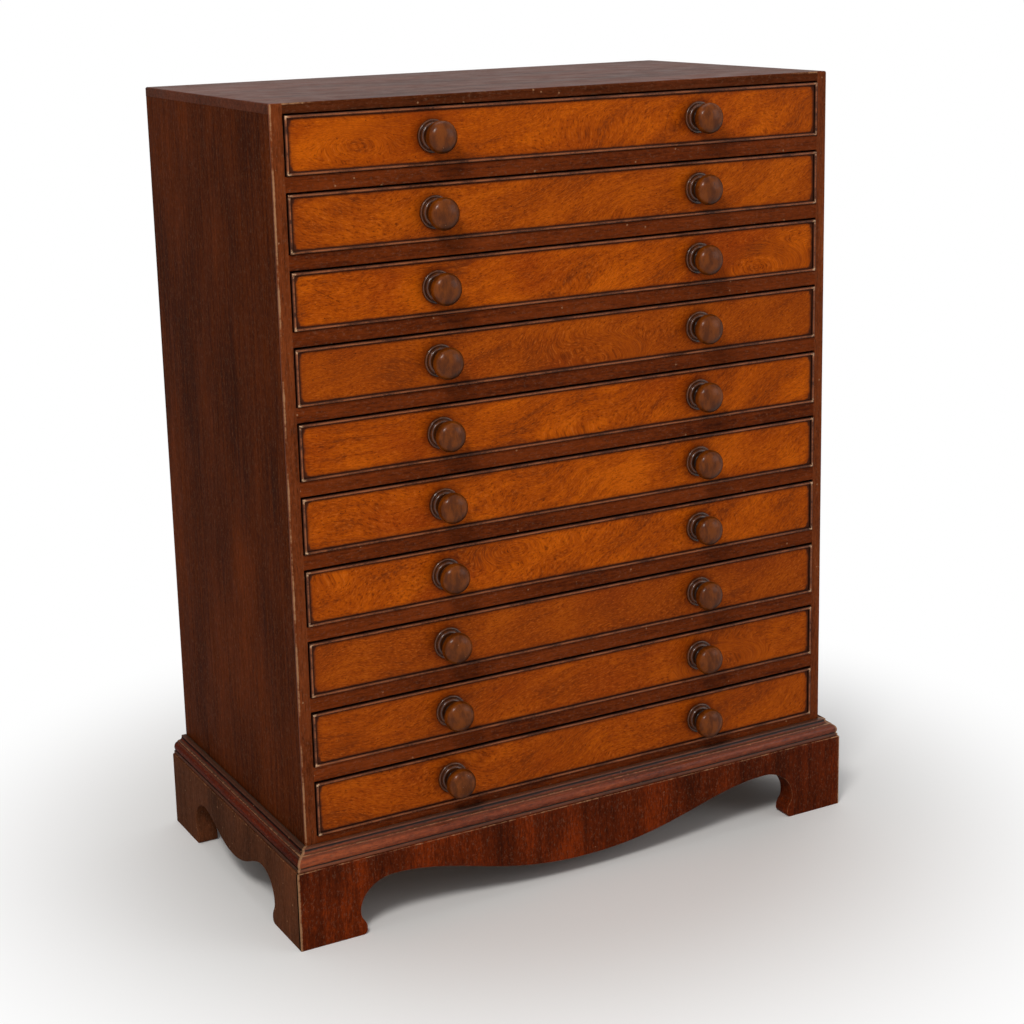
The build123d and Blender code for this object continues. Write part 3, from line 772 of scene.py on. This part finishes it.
def bead_finish():
    """Dark polish, rubbed to bare wood on the nose in places and at the mitres. The crown is
    painted lighter, partly as rubbing and partly as painted highlight, and the flanks are
    painted near-black as painted shade.
    """
    finish = Finish("cock_bead", Specular_IOR_Level=0.05, Coat_Weight=0.15, Coat_Roughness=0.2)
    nose, corner = finish.mark("nose"), finish.mark("corner")
    long_noise = finish.grain("X", 30, 8, 2.0, 4, 0.6)
    fine = finish.grain("X", 2.2, 1.6, 5.0, 3, 0.7)
    rub_and_highlight = finish.smooth(0.3, 0.65, long_noise + fine.swing(0.6)) * finish.smooth(0.86, 0.99, nose)
    near = finish.smooth(5.0, 1.5, corner)
    bare = finish.smooth(0.7, 1.0, nose) * near * finish.smooth(0.4, 0.6, fine)
    # Painted highlight and shade: a lighter crown, partly rubbed, and near-black flanks.
    shade = finish.layered(BEAD_DARK, (finish.smooth(0.35, 0.65, long_noise), BEAD_LIGHT),
                           (rub_and_highlight * 0.75, BEAD_RUBBED_AND_HIGHLIGHT), (bare, BEAD_BARE),
                           (finish.smooth(0.78, 0.45, nose), BEAD_FLANK_SHADE))
    roughness = 0.3 + fine.swing(0.2)
    return finish.wear(shade, roughness, finish.bump(fine, 0.00008))


cock_bead = bead_finish()
for number in range(1, DRAWERS + 1):
    body = f"drawer_{number:02d}"
    make(f"{body}_beads", beads(number), cock_bead, body, [f"{body}_cock_beads"])
print("beads run round", DRAWERS, "drawers")

# %% [markdown]
# ## Turned knobs
#
# A knob is one outline spun round its axis: a dowel through the front, a rosette against the
# veneer, a collar, a thin neck and a flattened dome. A cut line at the foot of the collar
# gives the second ring of light. No two came off the lathe quite alike, so each has its own
# small change of size.

# %% Knobs
COLLAR = 11.4
NECK = 6.5
DOME = 13.0
# Painted shade: each knob is painted darker towards its lower right edge, turned this far round.
PAINTED_SHADE_TURN = math.radians(65)    # its cosine is greatest at the lower right of a knob
KNOB_DARK = (84, 38, 5)
KNOB_LIGHT = (118, 58, 10)
KNOB_FIBRE = (48, 24, 14)
# Painted shade: the next four colours darken the rosette and collar, the cuts, the lower right edge
# and the neck under the dome.
KNOB_BASE_SHADE = (40, 22, 14)
KNOB_CUT_SHADE = (18, 11, 8)
KNOB_PAINTED_SHADE = (22, 10, 5)
KNOB_NECK_SHADE = (13, 8, 6)
KNOB_RUBBED = (164, 118, 80)


def knob_outline():
    """The outline as (radius, height over the drawer face), from the dowel's end to the tip."""
    foot = np.array([[0, -16.0], [4.5, -16.0], [4.5, 0.0], [ROSETTE, 0.0]])
    rosette = bezier((ROSETTE, 1.1), (ROSETTE, 2.8), (12.4, 2.8))
    cut = np.array([[12.0, 2.8], [COLLAR + 0.1, 2.3]])
    collar = bezier((COLLAR, 2.9), (COLLAR, 5.2), (9.0, 5.2))
    neck = bezier((9.0, 5.2), (NECK, 5.2), (NECK, 7.8), (NECK, 10.5))
    under = bezier((NECK, 10.5), (12.4, 10.5), (DOME, 13.7), (DOME, 17.0))
    dome = bezier((DOME, 17.0), (DOME, 21.7), (7.8, 24.5), (0.0, 24.5), count=24)
    outline = np.vstack([foot, rosette, cut, collar, neck, under, dome])
    return eased(outline, spacing=0.42, reach=2, closed=False)


def knobs(number):
    """The two knobs of one drawer: every outline point goes round by angle."""
    low, high = measured(f"drawer_{number:02d}_knobs")
    middle = (low[2] + high[2]) / 2
    outline, arris = knob_outline()
    around = np.linspace(0, 2 * math.pi, 60, endpoint=False)
    shells = []
    for side in (-1, 1):
        size = 1 + 0.012 * math.sin(number * 5.1 + side)
        radius = outline[:, :1] * np.where(outline[:, 1:] > 0.5, size, 1.0)
        radius[[0, -1]] = 0.0
        grid = np.stack([side * KNOB_X + radius * np.cos(around),
                         np.broadcast_to(FACE - outline[:, 1:], radius.shape[:1] + around.shape),
                         middle + radius * np.sin(around)], -1)
        # A mark for the painted shade on the lower right edge of each knob.
        painted_shade = np.cos(around + PAINTED_SHADE_TURN) * outline[:, :1] / DOME
        shells.append((grid, {"arris": arris[:, None], "out": outline[:, 1:], "painted_shade": painted_shade}))
    return shells


def knob_finish():
    """Brown turned wood, handled to a soft shine. Its cuts, its rosette and collar, its lower right
    edge and the neck under the dome are painted darker, as painted shade."""
    finish = Finish("knob_mahogany", Specular_IOR_Level=0.01, Coat_Roughness=0.22)
    arris, out = finish.mark("arris"), finish.mark("out")
    cloud = finish.grain("Z", 14, 6, 3.0, 4, 0.6)
    fibre = finish.grain("Z", 4, 0.5, 3.0, 3, 0.7)
    # Painted shade: the rosette and collar, the cuts, the lower right edge and the neck under the
    # dome are painted darker.
    base = finish.smooth(5.8, 4.8, out) * 0.5
    sunk = finish.smooth(-0.1, -0.5, arris)
    painted_shade = finish.smooth(0.25, 0.95, finish.mark("painted_shade"))
    neck = finish.smooth(4.6, 5.6, out) * finish.smooth(17.0, 12.5, out)
    rubbed = specks(finish, 6, 0.4, 0.3, 9.0)
    shade = finish.layered(KNOB_DARK, (finish.smooth(0.35, 0.65, cloud), KNOB_LIGHT),
                           (finish.smooth(0.56, 0.7, fibre) * 0.4, KNOB_FIBRE), (base, KNOB_BASE_SHADE),
                           (sunk * 0.9, KNOB_CUT_SHADE), (painted_shade * 0.82, KNOB_PAINTED_SHADE),
                           (neck * 0.92, KNOB_NECK_SHADE), (rubbed * 0.7, KNOB_RUBBED))
    roughness = 0.32 + cloud.swing(0.2)
    return finish.wear(shade, roughness, finish.bump(fibre, 0.00005), 0.27 + base)


knob_polish = knob_finish()
for number in range(1, DRAWERS + 1):
    body = f"drawer_{number:02d}"
    make(f"{body}_turned_knobs", knobs(number), knob_polish, body,
         [f"{body}_knobs"])
print("turned", 2 * DRAWERS, "knobs")

# %% [markdown]
# ## The base moulding
#
# The moulding is worked from one section: a fillet, a torus, a small cavetto and a top
# fillet. It runs along the front and both sides and is mitred where they meet. A point that
# reaches further out also runs further along, which draws the mitre by itself.

# %% Moulding in three lengths
FILLET = 2.4
TORUS = ((11.6, 3.2), (8.6, 11.0))
TORUS_TOP = 11.8
HOLLOW = ((7.6, TORUS_TOP), (4.6, TORUS_TOP), (4.6, 14.8))
MOULDING_HEIGHT = 16.0
RUBBED_LINE = 11.6
# Painted shade in the quirk under the torus and in the hollow.
GROOVES = ((2.9, 0.55, 1.0), (14.3, 0.8, 1.0), (12.9, 0.7, 0.42))    # height, width and depth


def moulding_section():
    """The section as (out from the carcass, up from the plinth), anticlockwise."""
    outline = np.vstack([
        [[0, 0], [MOULDING_REACH, 0], [MOULDING_REACH, FILLET], [TORUS[0][0], FILLET], TORUS[0]],
        arc(*TORUS, bulge=2.0),
        [[TORUS[1][0], TORUS_TOP]],
        bezier(*HOLLOW),
        [[HOLLOW[-1][0], MOULDING_HEIGHT], [0, MOULDING_HEIGHT]],
    ])
    return eased(outline, spacing=0.3, reach=2)


def grooves(out, up):
    """How deep in a groove a point is: bell curves of the height, round the quirk and the
    hollow, and one of the distance out, at the joint with the carcass."""
    bells = [depth * np.exp(-((up - height) / width) ** 2) for height, width, depth in GROOVES]
    return np.clip(sum(bells) * (out > 4) + np.exp(-((out - 0.8) / 0.6) ** 2) * (up > 14), 0, 1)


def rubbed_bare(arris, out, up):
    """Where the polish is rubbed off: on the arrises above the quirk, and in a thin line where
    the torus meets the hollow."""
    line = np.exp(-((up - RUBBED_LINE) / 0.4) ** 2) * (out > 7)
    return np.maximum(arris * (up > 3), line)


def moulding(side, seed):
    """One length: on the front, station s puts a point at s * (half width + out); on a side
    the same share of the way runs from the rear to the mitre."""
    section, arris = moulding_section()
    out, up = section.T
    reach = HALF_WIDTH if side == "front" else (REAR - FACE)
    stations = np.linspace(-1 if side == "front" else 0, 1, 72)[:, None]
    along = stations * (reach + out)
    swell = waver(along, 35, 0.05, seed) * (out > 2)
    out = out + swell
    up = PLINTH_TOP + np.broadcast_to(up, along.shape)
    marks = {"arris": rubbed_bare(arris, *section.T), "corner": (reach + out) - np.abs(along),
             "groove": grooves(*section.T),
             "fillet": (section[:, 1] < FILLET + 0.2) | (section[:, 1] > HOLLOW[-1][1] + 0.1)}
    if side == "front":
        return np.stack([along, FACE - out, up], -1), marks
    grid = np.stack([HALF_WIDTH + out, REAR - along, up], -1)
    return (mirrored(grid) if side == "left" else grid), marks


# %% [markdown]
# ## Bracket feet and shaped aprons
#
# A plinth board is a plank with its lower edge sawn to a curve. Its face is ruled: each
# station joins a point of the curve to a point of the straight top edge. The feet have a
# hollow above the toe, so the lines fan out there. The rows pass over the face, the rounded
# top, the back and the underside, and a quarter circle softens each arris.

# %% Plinth boards
PLINTH_THICK = 18.0
FOOT = 60.0
TOE = 5.0
NOTCH = (54.5, 21.0)
ARRIS = 0.5
TOP_ARRIS = 1.5
CORNER_ARRIS = 1.0
FRONT_BOARD = {"run": 31.5, "height": 47.5, "middle_height": 17.3, "mitres": 2}
SIDE_BOARD = {"run": 24.5, "height": 44.0, "middle_height": 26.0, "mitres": 1}


def half_edge(middle, run, height, middle_height):
    """The sawn edge from the board's end to its middle, and the top points that it is ruled
    to, both as (distance from the end, height)."""
    crown = NOTCH[0] + run
    rise, slope = height - NOTCH[1], middle - crown
    swell = (NOTCH[1] - TOE) / 2
    stretches = [
        (bezier((CORNER_ARRIS, 0), (FOOT - TOE, 0), count=12), (CORNER_ARRIS, 8)),
        (bezier((FOOT - TOE, 0), (FOOT, 0), (FOOT, TOE), count=7), (8, 10)),
        (bezier((FOOT, TOE), (FOOT, TOE + swell), (NOTCH[0], NOTCH[1] - swell), NOTCH, count=12),
         (10, 16)),
        (bezier(NOTCH, (NOTCH[0], NOTCH[1] + 0.55 * rise), (crown - 0.55 * run, height),
                (crown, height), count=20), (16, crown * 0.78)),
        (bezier((crown, height), (crown + 0.32 * slope, height),
                (middle - 0.48 * slope, middle_height), (middle, middle_height), count=30),
         (crown * 0.78, middle)),
    ]
    edge = np.vstack([curve[1:] if i else curve for i, (curve, _) in enumerate(stretches)])
    tops = np.concatenate([np.linspace(a, b, len(curve))[bool(i):]
                           for i, (curve, (a, b)) in enumerate(stretches)])
    return edge, tops


def board_rows(turns=5, face=9, flat=4):
    """One way round the board: for each row its depth behind the face, its lift off the sawn
    edge, its drop below the top, its share of the way up and how much of an arris it is."""
    a = np.linspace(0, math.pi / 2, turns)
    lip, high = ARRIS, TOP_ARRIS
    up = np.linspace(0, 1, face)[1:-1]
    across_top = np.linspace(high, PLINTH_THICK - lip, flat)[1:-1]
    across_under = np.linspace(PLINTH_THICK - lip, lip, flat)[1:-1]

    def rows(depth, lift, drop, share, arris):
        return np.stack(np.broadcast_arrays(depth, lift, drop, share, arris), -1)

    return np.vstack([
        rows(lip * (1 - np.sin(a)), lip * (1 - np.cos(a)), high, 0, np.sin(2 * a)),
        rows(0, lip, high, up, 0),
        rows(high * (1 - np.cos(a)), lip, high * (1 - np.sin(a)), 1, np.sin(2 * a)),
        rows(across_top, lip, 0, 1, 0),
        rows(PLINTH_THICK - lip * (1 - np.sin(a)), lip, lip * (1 - np.cos(a)), 1, np.sin(2 * a)),
        rows(PLINTH_THICK, lip, lip, up[::-1], 0),
        rows(PLINTH_THICK - lip * (1 - np.cos(a)), lip * (1 - np.sin(a)), lip, 0, np.sin(2 * a)),
        rows(across_under, 0, lip, 0, 0),
    ])


def inward(edge):
    """The way into the board, of length 1, at each point of its sawn edge."""
    way = np.diff(np.vstack([edge[:1] - [1, 0], edge]), axis=0)
    across = np.column_stack([-way[:, 1], way[:, 0]])
    return across / np.linalg.norm(across, axis=1)[:, None]


def plinth(length, run, height, middle_height, mitres):
    """A board of this length, mitred at its first `mitres` ends, as distance, depth, height.
    The far half is the near one, turned round and without its middle point."""
    edge, tops = half_edge(length / 2, run, height, middle_height)
    lead = 1 - np.clip(edge[:, 0] / (FOOT - TOE), 0, 1)
    turn = np.linspace(math.pi / 4, 0, 5)[:-1]
    start = CORNER_ARRIS * (1 - np.sin(turn))
    rounded = (np.column_stack([start, 0 * start]), start, CORNER_ARRIS * (1 - np.cos(turn)),
               np.ones(len(turn)))
    sawn = (edge, tops, 0 * tops, np.where(tops == tops[0], 1.0, lead))
    near = [np.concatenate(pair) for pair in zip(rounded, sawn)]
    flat = np.zeros(len(tops) + 1)
    far = near if mitres == 2 else [np.vstack([[0, 0], edge]), np.append(0.0, tops), flat, flat]
    signs = ([-1, 1], -1, 1, -1, [-1, 1])
    starts = ([length, 0], length, 0, 0, 0)
    ends = zip([*near, inward(near[0])], [*far, inward(far[0])], signs, starts)
    edge, tops, recess, lean, across = [
        np.concatenate([first, second[-2::-1] * sign + start])[:, None]
        for first, second, sign, start in ends]

    depth, lift, drop, share, arris = board_rows().T
    low = edge + across * lift[None, :, None]
    distance = (1 - share) * low[..., 0] + share * tops
    up = (1 - share) * low[..., 1] + share * (PLINTH_TOP - drop)
    distance = distance + lean * depth
    depth = recess + depth * (PLINTH_THICK - recess) / PLINTH_THICK
    end = np.minimum(distance, length - distance if mitres == 2 else distance)
    marks = {"arris": np.broadcast_to(arris, distance.shape), "corner": end, "groove": 0.0,
             "fillet": 0.0}
    return distance, depth, up, marks


def bracket_board(side):
    """The front board runs along X from its left end, a side board to the rear from its
    mitred corner."""
    if side == "front":
        distance, depth, up, marks = plinth(-2 * plinth_low[0], **FRONT_BOARD)
        return np.stack([plinth_low[0] + distance, plinth_low[1] + depth, up], -1), marks
    distance, depth, up, marks = plinth(REAR - plinth_low[1], **SIDE_BOARD)
    grid = np.stack([plinth_high[0] - depth, plinth_low[1] + distance, up], -1)
    return (mirrored(grid) if side == "left" else grid), marks


# %% Finish of the base
FOOT_SCRATCH = ((-271.0, 40.0), (-264.5, 48.0))


def base_wear(finish):
    """Arrises are rubbed pale in a thin line, and so is whatever stands out at the mitres."""
    near = finish.smooth(12.0, 1.0, finish.mark("corner"))
    line = finish.smooth(0.35, 0.95, finish.mark("arris")) * (0.56 + near * 0.3)
    return line.most(finish.smooth(3.0, 0.8, finish.mark("corner")) * 0.75)


def base_shade_and_joint_dirt(finish):
    """The quirk and the hollow are painted darker as shade, and the joint with the carcass is dark
    with dirt.
    """
    return finish.mark("groove")


def ledge_dust(finish):
    """Dust greys the fillets and every ledge that looks up."""
    return (finish.mark("fillet") * 0.45).most(finish.up() * 0.6)


def front_base_wear(finish):
    """The front board is worn as the moulding is, with one scratch on its left foot."""
    scar = scratch(finish, finish.x / MM, finish.z / MM, *FOOT_SCRATCH, 1.3)
    return base_wear(finish).most(scar)


def side_base_wear(finish):
    """The side boards are rubbed less: a faint line, and the very corner."""
    line = finish.smooth(0.35, 0.95, finish.mark("arris")) * 0.42
    return line.most(finish.smooth(1.5, 0.6, finish.mark("corner")) * 0.8)


def side_base_grime(finish):
    """The open joint beside the front corner holds dark dirt."""
    return finish.smooth(3.6, 3.0, finish.mark("corner"))


front_base = mahogany("base_front_mahogany", ((56, 18, 5), (86, 30, 8), (128, 46, 10)), "Z", 17.0,
                      streaks=0.3, wear=front_base_wear, grime=base_shade_and_joint_dirt, rough=0.34,
                      cloud=(110, 34), Coat_Weight=0.03, Coat_Roughness=0.25)
side_base = mahogany("base_side_mahogany", ((64, 36, 22), (88, 50, 31), (108, 60, 36)), "Z", 21.0,
                     streaks=0.4, wear=side_base_wear, grime=side_base_grime, rough=0.38,
                     gloss=0.0015)
moulded = {"streaks": 0.4, "wear": base_wear, "grime": base_shade_and_joint_dirt, "rough": 0.3,
           "dust": ledge_dust}
# The moulding is one wood in two copies: the front painted lighter as a lit copy, the sides darker
# as a shaded copy.
lit_moulding_polish = mahogany("moulding_mahogany", ((76, 28, 10), (118, 50, 22), (154, 74, 36)), "X",
                           25.0, **moulded, Coat_Weight=0.4, Coat_Roughness=0.28)
shaded_side_moulding_polish = mahogany("moulding_side_shaded_mahogany", ((54, 14, 4), (84, 26, 7), (118, 40, 11)),
                                "Y", 29.0, **moulded, gloss=0.004, Coat_Weight=0.02,
                                Coat_Roughness=0.25)

base_finishes = {"front": (lit_moulding_polish, front_base), "left": (shaded_side_moulding_polish, side_base),
                 "right": (shaded_side_moulding_polish, side_base)}
for seed, (side, finishes) in enumerate(base_finishes.items(), 1):
    make(f"{side}_moulding", [moulding(side, seed)], finishes[0], "carcass",
         [f"moulding_{side}"])
    make(f"{side}_bracket_board", [bracket_board(side)], finishes[1], "carcass",
         [f"plinth_{side}"])
print("base in six lengths")

# %% [markdown]
# ## Floor, light and camera
#
# A plain pale floor and soft studio light show the finish without a story of their own. The
# backdrop is white to the eye and in every reflection, but it lights the cabinet with a soft
# grey, and three softboxes do the rest. The camera stands where the photograph was taken, left
# of the front and a little above it.

# %% Stage
FLOOR_SIZE = 12.0
FADE = (0.22, 0.6)
FLOOR_TONE = (0.92, 0.92, 0.92, 1)
WHITE = (1, 1, 1, 1)


def shows_white(finish):
    """1 for the rays that show the backdrop itself: straight from the camera, off something
    glossy or through something clear."""
    kinds = ("Is Camera Ray", "Is Glossy Ray", "Is Transmission Ray")
    camera, glossy, through = [finish.node("ShaderNodeLightPath", output=kind) for kind in kinds]
    return camera.most(glossy).most(through)


def floor_finish():
    """Pale matt floor that fades to plain white away from the cabinet."""
    finish = Finish("floor", Roughness=0.9, Specular_IOR_Level=0.1, Base_Color=FLOOR_TONE)
    away = (finish.x * finish.x + finish.y * finish.y) ** 0.5
    fade = finish.smooth(FADE[0], FADE[1], away) * shows_white(finish)
    white = finish.node("ShaderNodeEmission", None, {"Color": WHITE, "Strength": 1.0})
    lit = Tone(finish, finish.shader.outputs[0])
    finish.show("Material Output", fade, lit, white)
    return finish.material


mesh = bpy.data.meshes.new("floor")
reach = FLOOR_SIZE / 2
mesh.from_pydata([(-reach, -reach, 0), (reach, -reach, 0), (reach, reach, 0), (-reach, reach, 0)],
                 [], [(0, 1, 2, 3)])
mesh.materials.append(floor_finish())
placed("floor", mesh)

# %% Light
ROOM_TONE = (1.0, 0.98, 0.95, 1)
ROOM_LIGHT = 0.26


class Backdrop(Finish):
    """The same ways of adding nodes, for the world round the stage."""

    def __init__(self, name):
        self.world = bpy.data.worlds.new(name)
        self.world.use_nodes = True
        self.tree = self.world.node_tree


def studio():
    """A world that looks white and lights everything with a soft grey."""
    backdrop = Backdrop("studio")
    room = backdrop.node("ShaderNodeBackground", None, {"Color": ROOM_TONE, "Strength": ROOM_LIGHT})
    white = backdrop.node("ShaderNodeBackground", None, {"Color": WHITE, "Strength": 1.0})
    backdrop.show("World Output", shows_white(backdrop), room, white)
    bpy.context.scene.world = backdrop.world


def softbox(name, place, target, width, power, tint=(1, 1, 1)):
    """A square area lamp that looks at its target; the camera doesn't see it."""
    lamp = bpy.data.lights.new(name, "AREA")
    lamp.shape = "RECTANGLE"
    lamp.size = lamp.size_y = width
    lamp.energy = power
    lamp.color = tint
    holder = placed(name, lamp)
    holder.location = place
    holder.rotation_euler = (Vector(target) - Vector(place)).to_track_quat("-Z", "Y").to_euler()
    holder.visible_camera = False


studio()
CENTRE = (0.0, 0.0, TOP * MM / 2)
softbox("key", (-1.25, -1.35, 2.0), (0.0, 0.0, 0.5), width=0.55, power=30, tint=(1, 0.97, 0.93))
softbox("fill", (2.2, -2.2, 1.2), CENTRE, width=1.6, power=12)
softbox("overhead", (0.2, 0.4, 2.6), CENTRE, width=1.6, power=10)
print("stage lit by three softboxes")

# %% Camera
CAMERA_PLACE = (-0.8226, -1.5176, 0.7847)
CAMERA_AZIMUTH, CAMERA_ELEVATION, CAMERA_ROLL = map(math.radians, (-28.78, 12.9, -1.33))
CAMERA_LENS = 69.55
CAMERA_SHIFT = -0.1


def camera():
    """Stand the camera by its azimuth, elevation and roll; back, right and up are the axes
    of a camera that turns first round Z and then leans."""
    a, e, r = CAMERA_AZIMUTH, CAMERA_ELEVATION, CAMERA_ROLL
    back = Vector((math.sin(a) * math.cos(e), -math.cos(a) * math.cos(e), math.sin(e)))
    right = Vector((math.cos(a), math.sin(a), 0))
    up = back.cross(right)
    across = math.cos(r) * right + math.sin(r) * up
    upright = -math.sin(r) * right + math.cos(r) * up
    data = bpy.data.cameras.new("camera")
    data.lens = CAMERA_LENS
    data.shift_y = CAMERA_SHIFT
    holder = placed("camera", data)
    turned = Matrix((across, upright, back)).transposed().to_4x4()
    holder.matrix_world = Matrix.Translation(CAMERA_PLACE) @ turned
    bpy.context.scene.camera = holder


camera()
bpy.context.scene.view_settings.view_transform = "Standard"
